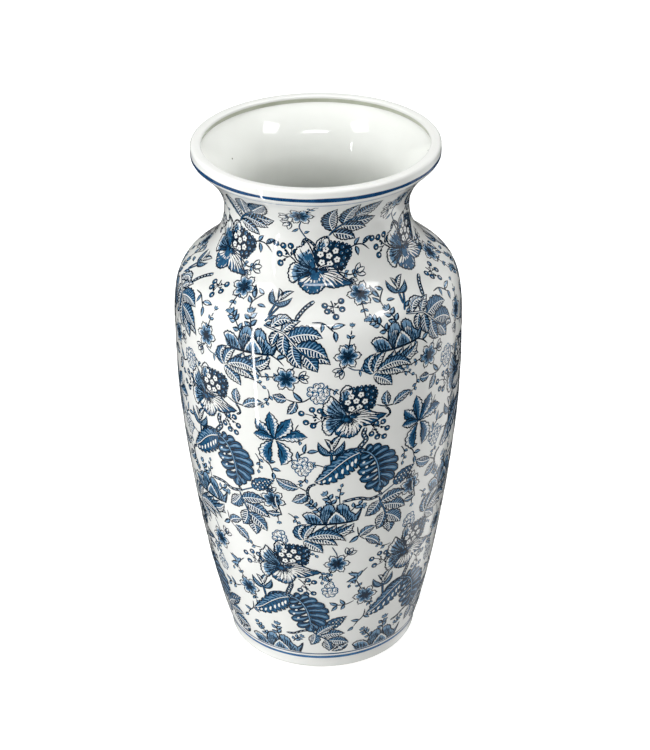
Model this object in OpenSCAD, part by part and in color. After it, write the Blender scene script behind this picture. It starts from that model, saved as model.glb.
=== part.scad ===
// Blue-and-white baluster vase with a rolled lip.
//
// The body is porcelain clay, thrown in sections that are luted together end to end: a
// turned foot ring, a floor disc, a foot wall, two belly sections, a shoulder, a neck and
// a rolled lip.
// Glaze coats cover the outside, the inside and the recess under the floor. The cobalt
// lines are brushed on the glaze, and the floral print is laid on as two transfer
// sheets, one round the body and one round the shoulder and neck.
//
// Every piece is a ring turned about Z. The origin is the middle of the plane that the
// foot stands on. The outside of the wall is one smooth path in four stretches, from the
// foot to the belly, the shoulder, the waist of the neck and the lip. A place on it is
// given by u, which goes from 0 at the foot to 4 at the lip. A depth is measured
// squarely into the wall from the outside of the glaze.

/* [Body outline] */
// Radius of the wall just above the foot
foot_r = 80.8; // [78:0.1:84]
// Height at which the wall leaves the foot
foot_z = 8; // [7:0.5:9]
// Radius at the widest part of the belly
belly_r = 117.4; // [112:0.1:122]
// Height of the widest part of the belly
belly_z = 273; // [260:1:285]
// Radius where the shoulder turns into the neck
shoulder_r = 97.8; // [95:0.1:100]
// Height where the shoulder turns into the neck
shoulder_z = 359; // [354:0.5:364]
// Radius at the waist of the neck
neck_r = 73.5; // [70:0.1:78]
// Height of the waist of the neck
neck_z = 404; // [400:0.5:408]
// Radius where the neck's flare meets the lip
flare_r = 97.4; // [96:0.1:98]
// Height where the neck's flare meets the lip
flare_z = 446; // [445:0.5:447]

/* [Walls and coats] */
// Thickness of the wall of the body, with its glaze
body_wall = 6.2; // [5.5:0.1:8]
// Thickness of the wall at the lip, with its glaze
lip_wall = 8.3; // [7.5:0.1:9]
// Thickness of the glaze coats
glaze_t = 0.5; // [0.4:0.1:0.8]
// Thickness of the cobalt lines and of the print
ink_t = 0.2; // [0.1:0.05:0.25]

/* [Lip] */
// Outer radius of the lip
lip_r = 98.2; // [98.2:0.1:99]
// Height of the top of the lip
lip_top = 457; // [456:0.5:458]
// Inner radius of the lip's bead
bead_r = 89.8; // [89:0.1:90.5]
// Radius of the rounding on the lip's outer top edge
lip_round = 2.4; // [1.5:0.1:3]

/* [Foot and floor] */
// Inner radius of the foot ring
ring_in_r = 70.5; // [69:0.1:72]
// Outer radius of the flat that the foot ring stands on
ring_flat_r = 77.4; // [76.5:0.1:78]
// Height of the recess under the floor
recess_h = 6; // [5:0.5:6.5]
// Height of the floor inside the vase
floor_z = 14; // [13:0.5:16]
// Radius of the flat part of the floor
floor_r = 58; // [54:0.5:60]

/* [Decoration] */
// Height of the lower edge of the broad line at the foot
foot_band_z = 12; // [11:0.1:13]
// Width of the broad line at the foot
foot_band_w = 2.2; // [1.5:0.1:2.6]
// Height of the lower edge of the fine line at the foot
foot_pin_z = 17; // [16.5:0.1:18]
// Width of the fine line at the foot
foot_pin_w = 0.8; // [0.5:0.1:1]
// Height of the lower edge of the line round the lip
rim_band_z = 448; // [447.8:0.1:449]
// Width of the line round the lip
rim_band_w = 2.1; // [1.5:0.1:3]
// Height of the lower edge of the fine line under the lip
neck_pin_z = 443; // [441.5:0.1:443.5]
// Width of the fine line under the lip
neck_pin_w = 0.6; // [0.4:0.1:0.8]
// Height where the print on the body starts
print_low_z = 19; // [18.5:0.1:21]
// Height of the joint between the two sheets of print
print_joint_z = 318; // [300:1:340]
// Height where the print on the neck ends
print_top_z = 441; // [438:0.5:441.5]

/* [Hidden] */
$fn = 144;

clay = "#e6ddcb";
white = "#f2f3ef";
cobalt = "#16335a";
print_blue = "#6f8fb5";

// The places where one section of the wall is luted to the next
foot_seam = 0.4;
belly_seam = 1;
shoulder_seam = 1.55;
neck_seam = 2.5;
// Steps along one stretch of the path
steps = 20;
// The end of the path, at the lip
last_u = 4;
// Points along each rounded corner
corner_steps = 6;

// Directions of the path, in degrees from +R, and the reach of its handles in mm
foot_angle = 71;
foot_reach = 45.7;
belly_reach_down = 82.2;
belly_reach_up = 67.5;
shoulder_angle = 147;
shoulder_reach_down = 21;
shoulder_reach_up = 15.7;
neck_reach_down = 21.6;
neck_reach_up = 21.3;
flare_angle = 45;
flare_reach = 8.1;

function toward(angle, reach) = reach * [cos(angle), sin(angle)];

foot_p = [foot_r, foot_z];
belly_p = [belly_r, belly_z];
shoulder_p = [shoulder_r, shoulder_z];
neck_p = [neck_r, neck_z];
flare_p = [flare_r, flare_z];

// The four stretches of the path: each has an end, two handles and the other end
path = [
    [foot_p, foot_p + toward(foot_angle, foot_reach),
     belly_p - [0, belly_reach_down], belly_p],
    [belly_p, belly_p + [0, belly_reach_up],
     shoulder_p - toward(shoulder_angle, shoulder_reach_down), shoulder_p],
    [shoulder_p, shoulder_p + toward(shoulder_angle, shoulder_reach_up),
     neck_p - [0, neck_reach_down], neck_p],
    [neck_p, neck_p + [0, neck_reach_up],
     flare_p - toward(flare_angle, flare_reach), flare_p]
];

// A place on a cubic curve and the direction of the curve there
function curve(p, t) =
    pow(1 - t, 3) * p[0] + 3 * pow(1 - t, 2) * t * p[1]
    + 3 * (1 - t) * pow(t, 2) * p[2] + pow(t, 3) * p[3];
function heading(p, t) =
    pow(1 - t, 2) * (p[1] - p[0]) + 2 * (1 - t) * t * (p[2] - p[1])
    + pow(t, 2) * (p[3] - p[2]);

// The stretch that holds u, and how far along that stretch u is
function stretch(u) = path[min(floor(u), len(path) - 1)];
function along(u) = u - min(floor(u), len(path) - 1);

// A point of the wall at u, the given depth under the outside of the glaze
function outward(d) = [d[1], -d[0]] / norm(d);
function wall_point(u, depth) =
    curve(stretch(u), along(u)) - depth * outward(heading(stretch(u), along(u)));

// The points of the wall from one u to another, in either direction
function wall_points(from, to, depth) =
    let (count = ceil(abs(to - from) * steps))
    [for (i = [0 : count]) wall_point(from + (to - from) * i / count, depth)];

// The wall is even up to the belly and thickens from there to the lip
function wall_at(u) =
    body_wall + (lip_wall - body_wall) * max(0, u - belly_seam) / (last_u - belly_seam);
function inside_points(from, to, lift) =
    let (count = ceil(abs(to - from) * steps))
    [for (i = [0 : count])
        let (u = from + (to - from) * i / count)
        wall_point(u, wall_at(u) - lift)];

// The u at which the outside of the wall is at a height, found by halving
function u_at(z, low = 0, high = last_u, turns = 24) =
    let (middle = (low + high) / 2)
    turns == 0 ? middle :
    wall_point(middle, 0)[1] < z
        ? u_at(z, middle, high, turns - 1)
        : u_at(z, low, middle, turns - 1);

// Points along an arc about a centre
function arc(centre, radius, from, to) =
    [for (i = [0 : corner_steps])
        centre + toward(from + (to - from) * i / corner_steps, radius)];

function reversed(points) = [for (i = [len(points) - 1 : -1 : 0]) points[i]];

// The outside of the foot from the glaze's edge up to the wall, at a depth
foot_round = 3.2;
function foot_points(depth) =
    arc([foot_r - foot_round, foot_round + 0.2], foot_round - depth, -62, 0);

// The lip from the end of the flare round to the groove inside, at a depth
bead_round = 1.7;
lip_low_z = 447.6;
groove_r = 91.3;
groove_z = 452.6;
function lip_points(depth) = concat(
    [[lip_r - depth, lip_low_z + depth / 2]],
    arc([lip_r - lip_round, lip_top - lip_round], lip_round - depth, 0, 80),
    arc([bead_r + bead_round, lip_top - bead_round - 0.1], bead_round - depth, 95, 215),
    [[groove_r + depth, groove_z]]);

// The cove that joins the inside of the wall to the floor, at a height over the glaze
cove_u = 0.22;
function cove_points(lift) =
    let (top = wall_point(cove_u, body_wall - lift), bottom = [floor_r, floor_z - lift])
    let (p = [bottom, bottom + [11, 0], top - toward(foot_angle, 14), top])
    [for (i = [0 : corner_steps]) curve(p, i / corner_steps)];

module turned(points) {
    rotate_extrude() polygon(points);
}

// A thin coat that stands on the glaze between two heights
module coat(low, high) {
    turned(concat(
        wall_points(u_at(low), u_at(high), 0),
        wall_points(u_at(high), u_at(low), -ink_t)));
}

// A section of the clay wall between two places
module clay_wall(from, to) {
    turned(concat(
        wall_points(from, to, glaze_t),
        inside_points(to, from, glaze_t)));
}

// The turned ring that the vase stands on: bare clay where it touches
module foot_ring() {
    color(clay) turned(concat(
        [[ring_in_r, 1], [ring_in_r + 1, 0], [ring_flat_r, 0]],
        foot_points(glaze_t),
        [[foot_r - glaze_t, recess_h], [ring_in_r, recess_h]]));
}

// The disc of clay that closes the bottom
module base_floor() {
    color(clay) translate([0, 0, recess_h])
        cylinder(r = floor_r, h = floor_z - glaze_t - recess_h);
}

// The foot wall, with its cove, from the foot ring to the belly
module foot_wall() {
    color(clay) turned(concat(
        [[floor_r, recess_h], [foot_r - glaze_t, recess_h]],
        wall_points(0, foot_seam, glaze_t),
        inside_points(foot_seam, cove_u, glaze_t),
        reversed(cove_points(glaze_t))));
}

// The belly up to its widest place
module lower_belly() {
    color(clay) clay_wall(foot_seam, belly_seam);
}

// The belly from its widest place to the shoulder
module upper_belly() {
    color(clay) clay_wall(belly_seam, shoulder_seam);
}

// The shoulder, turned in to the neck
module shoulder() {
    color(clay) clay_wall(shoulder_seam, neck_seam);
}

// The waisted neck and its flare
module neck() {
    color(clay) clay_wall(neck_seam, last_u);
}

// The lip, rolled over into a bead with a groove behind it
module rolled_lip() {
    color(clay) turned(concat(
        [wall_point(last_u, lip_wall - glaze_t), wall_point(last_u, glaze_t)],
        lip_points(glaze_t)));
}

// The coat on the outside, from the foot over the lip to the groove
module outer_glaze() {
    color(white) turned(concat(
        foot_points(0),
        wall_points(0, last_u, 0),
        lip_points(0),
        reversed(lip_points(glaze_t)),
        wall_points(last_u, 0, glaze_t),
        [[foot_r - glaze_t, recess_h]],
        reversed(foot_points(glaze_t))));
}

// The coat on the inside, from the groove down to the middle of the floor
module inner_glaze() {
    color(white) turned(concat(
        [[0, floor_z - glaze_t]],
        cove_points(glaze_t),
        inside_points(cove_u, last_u, glaze_t),
        [[groove_r + glaze_t, groove_z], [groove_r, groove_z]],
        inside_points(last_u, cove_u, 0),
        reversed(cove_points(0)),
        [[0, floor_z]]));
}

// The coat in the recess under the floor
module base_glaze() {
    color(white) turned([
        [0, recess_h], [ring_in_r, recess_h], [ring_in_r, 2],
        [ring_in_r - glaze_t, 2.4], [ring_in_r - glaze_t, recess_h - 2],
        [ring_in_r - 2, recess_h - glaze_t], [0, recess_h - glaze_t]]);
}

// The broad cobalt line round the foot
module foot_band() {
    color(cobalt) coat(foot_band_z, foot_band_z + foot_band_w);
}

// The fine cobalt line above it
module foot_pinstripe() {
    color(cobalt) coat(foot_pin_z, foot_pin_z + foot_pin_w);
}

// The cobalt line round the lower edge of the lip
module rim_band() {
    color(cobalt) translate([0, 0, rim_band_z]) difference() {
        cylinder(r = lip_r + ink_t, h = rim_band_w);
        translate([0, 0, -1]) cylinder(r = lip_r, h = rim_band_w + 2);
    }
}

// The fine pale line just under the lip
module neck_pinstripe() {
    color(print_blue) coat(neck_pin_z, neck_pin_z + neck_pin_w);
}

// The sheet of floral print round the body
module body_print() {
    color(print_blue) coat(print_low_z, print_joint_z);
}

// The sheet of floral print round the shoulder and neck
module neck_print() {
    color(print_blue) coat(print_joint_z, print_top_z);
}

foot_ring();
base_floor();
foot_wall();
lower_belly();
upper_belly();
shoulder();
neck();
rolled_lip();
outer_glaze();
inner_glaze();
base_glaze();
foot_band();
foot_pinstripe();
rim_band();
neck_pinstripe();
body_print();
neck_print();
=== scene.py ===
"""Looks of the blue-and-white floral vase: glaze, bare clay, cobalt lines and the print.

The clay sections keep the meshes they come with. The thin coats, the lines and the two
sheets of print are replaced by finer meshes on the same outline. The print is drawn as
flat shapes in four tones, in millimetres, and laid on the wall: a motif's place is given
by how far it lies across (along the surface, from the front) and up (along the wall,
from the foot).
"""
import cmath
import dataclasses
import math

import bpy
import numpy as np
from mathutils import Matrix, Vector


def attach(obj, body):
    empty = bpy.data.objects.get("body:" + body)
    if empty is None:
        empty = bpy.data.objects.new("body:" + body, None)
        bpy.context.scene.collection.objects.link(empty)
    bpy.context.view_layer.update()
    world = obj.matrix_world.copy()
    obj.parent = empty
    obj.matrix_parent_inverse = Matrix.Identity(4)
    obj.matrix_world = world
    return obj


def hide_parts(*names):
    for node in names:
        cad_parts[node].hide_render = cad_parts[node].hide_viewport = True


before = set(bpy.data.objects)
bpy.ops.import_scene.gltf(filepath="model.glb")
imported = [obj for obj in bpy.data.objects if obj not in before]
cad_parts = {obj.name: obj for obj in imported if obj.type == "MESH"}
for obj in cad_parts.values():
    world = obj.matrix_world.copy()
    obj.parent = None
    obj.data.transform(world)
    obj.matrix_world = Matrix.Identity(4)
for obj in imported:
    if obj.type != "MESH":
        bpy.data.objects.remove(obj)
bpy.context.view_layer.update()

MM = 0.001
FULL_TURN = 2 * math.pi

# ---------------- the outline, in mm
# A place on the outline is a complex number: radius + height * 1j.

FOOT = 80.8+8j
BELLY = 117.4+273j
SHOULDER = 97.8+359j
NECK = 73.5+404j
FLARE = 97.4+446j
BODY_WALL = 6.2
LIP_WALL = 8.3
GLAZE = 0.5
FOOT_ROUND = 3.2
LIP_TOP = 457.0
LIP_ROUND = 2.4
LIP_CENTRE = 95.8 + (LIP_TOP - LIP_ROUND) * 1j
LIP_LOW_ROUND = 1.2
LIP_LOW_CENTRE = 97.0+447.9j
BEAD_ROUND = 1.7
BEAD_CENTRE = 91.5 + (LIP_TOP - BEAD_ROUND - 0.1) * 1j
BEAD_END = 215
GROOVE = 91.3+452.6j
FLOOR = 58+14j
PATH_STEP = 1.0


def toward(degrees, reach):
    """A step in a direction, as a complex number."""
    angle = math.radians(degrees)
    return reach * complex(math.cos(angle), math.sin(angle))


STRETCHES = [
    (FOOT, FOOT + toward(71, 45.7), BELLY - 82.2j, BELLY),
    (BELLY, BELLY + 67.5j, SHOULDER - toward(147, 21), SHOULDER),
    (SHOULDER, SHOULDER + toward(147, 15.7), NECK - 21.6j, NECK),
    (NECK, NECK + 21.3j, FLARE - toward(45, 8.1), FLARE),
]
CURVE_STEPS = 200


def curve(ends, t):
    """Points of a cubic curve given by its two ends and the handles between them."""
    p, q, r, s = ends
    return (1 - t) ** 3 * p + 3 * (1 - t) ** 2 * t * q + 3 * (1 - t) * t ** 2 * r + t ** 3 * s


def arc(centre, radius, start, end, steps=14):
    """Points of an arc from one direction to another, in degrees."""
    turn = (end - start) / steps
    return [centre + toward(start + turn * i, radius) for i in range(steps + 1)]


def evenly(points, step):
    """The same line with a point at least every step, in mm."""
    line = [points[0]]
    for end in points[1:]:
        count = max(1, math.ceil(abs(end - line[-1]) / step))
        line.extend(line[-1] + (end - line[-1]) * np.arange(1, count + 1) / count)
    return np.array(line)


def thinned(points, step, bend):
    """The same line with a point only where a step in mm or a bend in degrees calls for it."""
    line = [points[0]]
    for point, after in zip(points[1:], points[2:]):
        turn = math.degrees(cmath.phase((after - point) / (point - line[-1])))
        if abs(point - line[-1]) >= step or abs(turn) >= bend:
            line.append(point)
    return line + [points[-1]]


FOOT_CENTRE = FOOT.real - FOOT_ROUND + (FOOT_ROUND + 0.2) * 1j
FOOT_EDGE = arc(FOOT_CENTRE, FOOT_ROUND, -62, 0)
SHARES = np.linspace(0, 1, CURVE_STEPS, endpoint=False)
WALL = np.concatenate([curve(ends, SHARES) for ends in STRETCHES])
LIP = (arc(LIP_LOW_CENTRE, LIP_LOW_ROUND, -45, 0, 6)
       + arc(LIP_CENTRE, LIP_ROUND, 0, 84)
       + arc(BEAD_CENTRE, BEAD_ROUND, 95, BEAD_END)
       + [GROOVE])
PATH = evenly(FOOT_EDGE + list(WALL) + LIP, PATH_STEP)
FOOT_INDEX = int(np.argmin(abs(PATH - FOOT)))
PATH_UP = np.concatenate([[0], np.cumsum(abs(np.diff(PATH)))])
PATH_UP = PATH_UP - PATH_UP[FOOT_INDEX]
PATH_HEADING = np.gradient(PATH, PATH_UP)
PATH_OUT = -1j * PATH_HEADING / abs(PATH_HEADING)
TOP_INDEX = int(np.argmax(PATH.imag))


def along(values, up):
    """A value of the outline at some distances up the wall."""
    return np.interp(up, PATH_UP, values.real) + 1j * np.interp(up, PATH_UP, values.imag)


def radius_at(up):
    """The wall's radius at some distances up it."""
    return np.interp(up, PATH_UP, PATH.real)


def up_at(height):
    """The distance up the wall at a height, in mm."""
    return float(np.interp(height, PATH.imag[:TOP_INDEX], PATH_UP[:TOP_INDEX]))


def turned(line, angle):
    """The outline's points turned about Z to an angle from the front, as x, y, z."""
    x = line.real * np.sin(angle)
    y = -line.real * np.cos(angle)
    return np.stack([x, y, line.imag], -1)


def on_wall(angle, up, lift):
    """Places on the outside of the wall and their normals; angle 0 is the front."""
    outward = along(PATH_OUT, up)
    place = along(PATH, up) + lift * outward
    return turned(place, angle) * MM, turned(outward, angle)


# ---------------- the print's pen

WHITE, PALE, MID, NAVY = "white", "pale", "mid", "navy"
TONES = (WHITE, PALE, MID, NAVY)
REPEATS = 6
PRINT_LOW = 19.0
PRINT_HIGH = 441.0
LOWEST_LIFT = 0.05
LEVEL_LIFT = 0.02
FLAT = 1e-6
TINY = 1e-9


def sideways(line):
    """The direction to the left of a line, of length one, at each of its points."""
    heading = np.gradient(line)
    return 1j * heading / np.maximum(abs(heading), TINY)


class Sheet:
    """One sheet of the print: faces in each tone, with their corners' angle, up and lift."""

    def __init__(self, low, high):
        self.low = low
        self.high = high
        self.corners = {tone: [] for tone in TONES}
        self.faces = {tone: [] for tone in TONES}
        self.count = dict.fromkeys(TONES, 0)

    def add(self, tone, level, across, up, local, faces):
        """Lay a drawn shape on the wall round its motif's place, and trim it to the sheet."""
        height = np.clip(up + local.imag, self.low, self.high)
        angle = across / radius_at(up) + local.real / radius_at(height)
        lift = np.full(len(local), LOWEST_LIFT + LEVEL_LIFT * level)
        start = self.count[tone]
        self.corners[tone].append(np.stack([angle, height, lift], -1))
        for face in faces:
            x, y = angle[list(face)], height[list(face)]
            if np.ptp(y) > FLAT:
                spread = np.dot(x, np.roll(y, -1)) - np.dot(y, np.roll(x, -1))
                ring = face if spread > 0 else face[::-1]
                self.faces[tone].append(tuple(int(i) + start for i in ring))
        self.count[tone] += len(local)

    def at(self, across, up, degrees=0.0, size=1.0):
        """A pen whose zero is at a place on the sheet, turned and sized."""
        return Pen(self, across, up).at(0, degrees, size)


@dataclasses.dataclass
class Pen:
    """Draws in a motif's own frame: complex numbers in mm, turned and sized."""

    sheet: Sheet
    across: float
    up: float
    origin: complex = 0
    turn: complex = 1
    layer: int = 0

    def place(self, points):
        """Where points of this frame lie in the motif's own frame."""
        return self.origin + self.turn * np.asarray(points, complex)

    def at(self, origin, degrees=0, size=1):
        """A pen for a smaller piece of the same motif."""
        return dataclasses.replace(self, origin=complex(self.place(origin)),
                                   turn=self.turn * toward(degrees, size))

    def above(self, layers):
        """The same pen, some layers of ink higher."""
        return dataclasses.replace(self, layer=self.layer + layers)

    def band(self, tone, level, one, other, rows=1):
        """A strip of faces between two lines that have as many points."""
        one = np.asarray(one, complex)
        other = np.asarray(other, complex)
        grid = [one + (other - one) * row / rows for row in range(rows + 1)]
        n = len(one)
        starts = [row * n + i for row in range(rows) for i in range(n - 1)]
        faces = [(k, k + 1, k + n + 1, k + n) for k in starts]
        local = self.place(np.concatenate(grid))
        self.sheet.add(tone, self.layer + level, self.across, self.up, local, faces)

    def fan(self, tone, level, heart, edge, rows=2, start=0.0, end=1.0):
        """Faces from a heart, or from part of the way out, to an edge."""
        edge = np.asarray(edge, complex)
        self.band(tone, level, heart + start * (edge - heart), heart + end * (edge - heart), rows)

    def disc(self, tone, level, centre, radius, sides):
        """A round dot."""
        edge = centre + radius * np.exp(1j * np.linspace(0, FULL_TURN, sides + 1))
        self.fan(tone, level, centre, edge, rows=1)

    def line(self, tone, level, points, width, ends=(0.3, 0.3)):
        """A drawn line that thins towards its ends."""
        points = np.asarray(points, complex)
        t = np.linspace(0, 1, len(points))
        swell = np.minimum(1, np.minimum(ends[0] + 4 * t, ends[1] + 4 * (1 - t)))
        half = sideways(points) * width / 2 * swell
        self.band(tone, level, points - half, points + half)


def bow(start, end, bend=0.0, steps=8):
    """A line from start to end that bows to its left by a share of its length."""
    t = np.linspace(0, 1, steps + 1)
    return start + (end - start) * (t + 4j * bend * t * (1 - t))


def through(points, steps=4):
    """A smooth line through some points."""
    p = [2 * points[0] - points[1]] + list(points) + [2 * points[-1] - points[-2]]
    t = np.linspace(0, 1, steps + 1)[:-1]
    parts = []
    for a, b, c, d in zip(p, p[1:], p[2:], p[3:]):
        parts.append(b + (c - a) * t / 2 + (2 * a - 5 * b + 4 * c - d) * t ** 2 / 2
                     + (3 * b - a - 3 * c + d) * t ** 3 / 2)
    return np.concatenate(parts + [[points[-1]]])


# ---------------- pieces of the motifs

TOOTH = (1.0, 0.97, 0.84)
HEM = (1.0, 0.955, 0.9865, 0.9595)
STREAK_REACHES = (0.82, 1.06, 0.94)
SPOKE_REACHES = (0.6, 0.86, 0.45, 0.7)
LEAF_HATCH = ((NAVY, PALE), (NAVY, WHITE))


def frond(pen, spine, width, filled=(0.9, 0.9), fills=(MID, MID), hatch=LEAF_HATCH,
          ruffle=1.0, fat=0.8, rib=WHITE, outline=1.15):
    """A leaf along a spine: a toothed edge, filled halves, hatching, a rib and an outline.

    Pairs are for the left and the right of the spine: the half width, the share of the
    half that is filled, its ink and the two inks of its hatching.
    """
    count = len(spine)
    t = np.linspace(0, 1, count)
    tooth = np.array([1 - ruffle * (1 - TOOTH[i % 3]) for i in range(count)])
    swell = np.sin(math.pi * t ** fat) ** (0.7 + 0.45 * t) * tooth
    edges = []
    for way, half, share, fill, lines in zip((1, -1), width, filled, fills, hatch):
        edge = spine + way * sideways(spine) * half * swell
        edges.append(edge)
        rows = max(1, math.ceil(half / 3))
        pen.band(WHITE, 0, spine, edge, rows)
        pen.band(fill, 1, spine, spine + share * (edge - spine), rows)
        for i in range(1, count - 3):
            start = spine[i] + 0.12 * (edge[i] - spine[i])
            end = spine[i + 2] + 0.9 * (edge[i + 2] - spine[i + 2])
            ink = lines[i % 2]
            if ink:
                pen.line(ink, 2, bow(start, end, 0.05 * way, 2), 0.72, (1, 0.35))
        pen.line(NAVY, 3, edge, outline, (0.5, 0.3))
    if rib:
        pen.line(rib, 3, spine[:-1], 0.8, (1, 0.2))
    return edges


def leaf(pen, base, tip, width, bend=0.08, **looks):
    """A pointed leaf, dark on its left and half white on its right."""
    steps = 3 * max(4, round(abs(tip - base) / 3.6))
    looks = {"filled": (0.92, 0.7), **looks}
    frond(pen, bow(base, tip, bend, steps), (width / 2, width / 2), **looks)


def leaves(pen, shapes, **looks):
    """Leaves that overlap; each is a base, a tip, a width and a bend."""
    for k, (base, tip, width, bend) in enumerate(shapes):
        leaf(pen.above(3 * (k % 3)), base, tip, 1.2 * width, bend, **looks)


def leaflet(pen, base, tip, width=2.2):
    """A small leaf, dark with a lighter middle."""
    spine = bow(base, tip, 0.06, 5)
    side = 1j * (tip - base) / abs(tip - base)
    swell = np.sin(math.pi * np.linspace(0, 1, 6) ** 0.85) * width / 2 * 1.15
    pen.band(NAVY, 0, spine - side * swell, spine + side * swell)
    if width > 1.8:
        middle = spine[1:-1]
        pen.band(PALE, 1, middle - side * swell[1:-1] * 0.25, middle + side * swell[1:-1] * 0.5)


def open_leaf(pen, base, tip, width, bend=0.1):
    """A broad oval leaf, half shaded, with a drawn edge and a few veins."""
    leaf(pen, base, tip, width * 1.1, bend, filled=(0.8, 0.3), fills=(PALE, MID),
         hatch=((NAVY, None), (MID, NAVY)), fat=0.9, outline=1.0)


def stem(pen, points, width=1.0, core=True):
    """A smooth stem, dark with a lighter core."""
    line = through(points)
    pen.line(NAVY, 0, line, width * 1.15, (0.6, 0.6))
    if core:
        pen.line(MID, 1, line, width * 0.5, (0.6, 0.4))


def petal(pen, heart, edge_points, streaks, reach, base=WHITE, shade=0.5, floor=-math.inf):
    """A petal fanned out from the heart of a flower, with streaks that fade outwards.

    Nothing is drawn below the floor, so a heart may lie far under the petal's own foot.
    """
    def over_floor(points):
        return points.real + 1j * np.maximum(points.imag, floor)

    edge = through(edge_points)
    ragged = np.array([HEM[i % len(HEM)] for i in range(len(edge))])
    ragged[[0, -1]] = 1
    edge = heart + (edge - heart) * ragged
    foot = over_floor(heart + 0.05 * (edge - heart))
    shaded = over_floor(heart + shade * (edge - heart))
    pen.band(base, 0, foot, over_floor(edge), 3)
    pen.band(MID, 1, foot, shaded, 2)
    if shade < 0.82:
        pen.band(PALE, 1, shaded, over_floor(heart + (shade + 0.17) * (edge - heart)))
    for k, pick in enumerate(np.linspace(1, len(edge) - 2, streaks)):
        target = edge[int(round(pick))]
        part = min(0.96, reach * STREAK_REACHES[k % 3])
        near = 0.16 if k % 2 else 0.32
        outward = target - heart
        spoke = over_floor(bow(heart + near * outward, heart + part * outward, 0.04, 5))
        pen.line(NAVY, 2, spoke, 0.95, (0.8, 0.15))
        away = 0.95j * outward / abs(outward)
        if base == MID:
            pen.line(WHITE, 2, spoke[1:] + away, 0.75, (0.3, 0.6))
        else:
            pen.line(PALE, 2, spoke[1:-1] + away, 0.55, (0.3, 0.3))
    pen.line(NAVY, 3, over_floor(edge), 1.25)


def floret(pen, centre, radius=2.5, turn=0.0):
    """A small white flower with five petals."""
    for k in range(5):
        step = toward(90 + turn + 72 * k, radius * 0.58)
        pen.disc(WHITE, 4, centre + step, radius * 0.44, 6)
    pen.disc(NAVY, 5, centre, radius * 0.26, 5)


def berry(pen, centre, radius=2.7, turn=0.0):
    """A round berry with a glint and a curl of shade."""
    pen.disc(NAVY, 1, centre, radius, 11)
    pen.disc(MID, 2, centre + 0.1, radius * 0.74, 9)
    pen.disc(WHITE, 3, centre + toward(60 + 57 * turn, radius * 0.3), radius * 0.34, 7)
    curl = centre + radius * 0.5 * np.exp(1j * np.linspace(turn, turn + 3.6, 7))
    pen.line(NAVY, 4, curl, 0.5)


def cluster(pen, rows=(2, 4, 4, 3, 2), gap=4.0):
    """A hanging cluster of small round blooms, from its stem downwards."""
    for r, count in enumerate(rows):
        for k in range(count):
            centre = complex((k - (count - 1) / 2) * gap, -gap * 0.86 * r)
            centre += toward(97 * r + 61 * k, 0.5)
            pen.disc(MID, 0, centre, gap * 0.72, 11)
            pen.disc(WHITE, 1, centre, gap * 0.46, 9)
            curve_in = centre + gap * 0.24 * np.exp(1j * np.linspace(0.4 + r + k, 4.3 + r + k, 6))
            pen.line(MID if k % 3 else NAVY, 2, curve_in, 0.8)


def berries(pen, fork, ends, root):
    """Berries on short stalks from a forked stem."""
    stem(pen, [root, (root + fork) / 2 + 0.6j, fork], 1.0, core=False)
    for k, end in enumerate(ends):
        pen.line(NAVY, 0, bow(fork, end, 0.1 if k % 2 else -0.1, 4), 0.8)
        berry(pen, end, turn=k * 1.3)
        joint = fork + 0.45 * (end - fork)
        leaflet(pen, joint, joint + toward(140 * k, 3), 1.5)


def sprig(pen, points, leaves=3, length=3.6, tuft=True):
    """A stem with pairs of leaflets and a tuft at its end."""
    line = through(points)
    pen.line(NAVY, 0, line, 1.1, (0.8, 0.5))
    heading = np.gradient(line)
    length = length * 1.3
    spread = leaves + (0.2 if tuft else 0.0)
    for k in range(leaves):
        i = int((len(line) - 1) * (k + 0.6) / spread)
        ahead = heading[i] / abs(heading[i])
        for angle in (52, -52):
            leaflet(pen, line[i], line[i] + length * ahead * toward(angle, 1), length * 0.58)
    if tuft:
        ahead = heading[-1] / abs(heading[-1])
        for angle in (-38, 0, 38):
            tip = line[-1] + length * 0.8 * ahead * toward(angle, 1)
            leaflet(pen, line[-1], tip, length * 0.45)


def twig(pen, points, length):
    """A stem with two pairs of leaflets and a bare end."""
    sprig(pen, points, leaves=2, length=length, tuft=False)


def tendril(pen, end, bend=0.16):
    """A thin curling stem with a leaf on each side and one at its tip."""
    line = bow(0, end, bend, 9)
    pen.line(NAVY, 0, line, 0.95, (0.8, 0.4))
    way = end / abs(end)
    for place, angle, length in ((3, 50, 5.0), (5, -58, 4.6), (7, 40, 3.6), (9, -12, 4.4)):
        leaflet(pen, line[place], line[place] + length * way * toward(angle, 1), 2.8)


def ruffled(pen, radius=10.8, petals=6):
    """A small flower with pointed, ruffled petals, white at the edge and dark at the heart."""
    turn = np.linspace(0, FULL_TURN, petals * 10 + 1)
    points = 0.37 * abs(np.cos(turn * petals / 2)) ** 1.3
    ruffles = 0.06 * np.cos(turn * petals * 4)
    edge = radius * (0.6 + points + ruffles) * np.exp(1j * turn)
    pen.fan(WHITE, 0, 0, edge, rows=3)
    pen.fan(PALE, 1, 0, edge, rows=1, start=0.58, end=0.78)
    pen.fan(MID, 1, 0, edge, rows=2, end=0.58)
    pen.line(NAVY, 3, edge, 1.0, (1, 1))
    for k in range(petals * 4):
        spoke = toward(360 * k / petals / 4 + 5, radius * SPOKE_REACHES[k % 4])
        pen.line(NAVY, 2, bow(0.25 * spoke, spoke, 0.08, 3), 0.7, (1, 0.1))
    for k in range(petals):
        inside = toward(360 * (k + 0.5) / petals, radius * 0.3)
        pen.line(PALE, 3, bow(inside, 2 * inside, 0.1, 3), 0.7, (0.4, 0.2))
    pen.disc(NAVY, 3, 0, radius * 0.2, 7)


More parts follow.
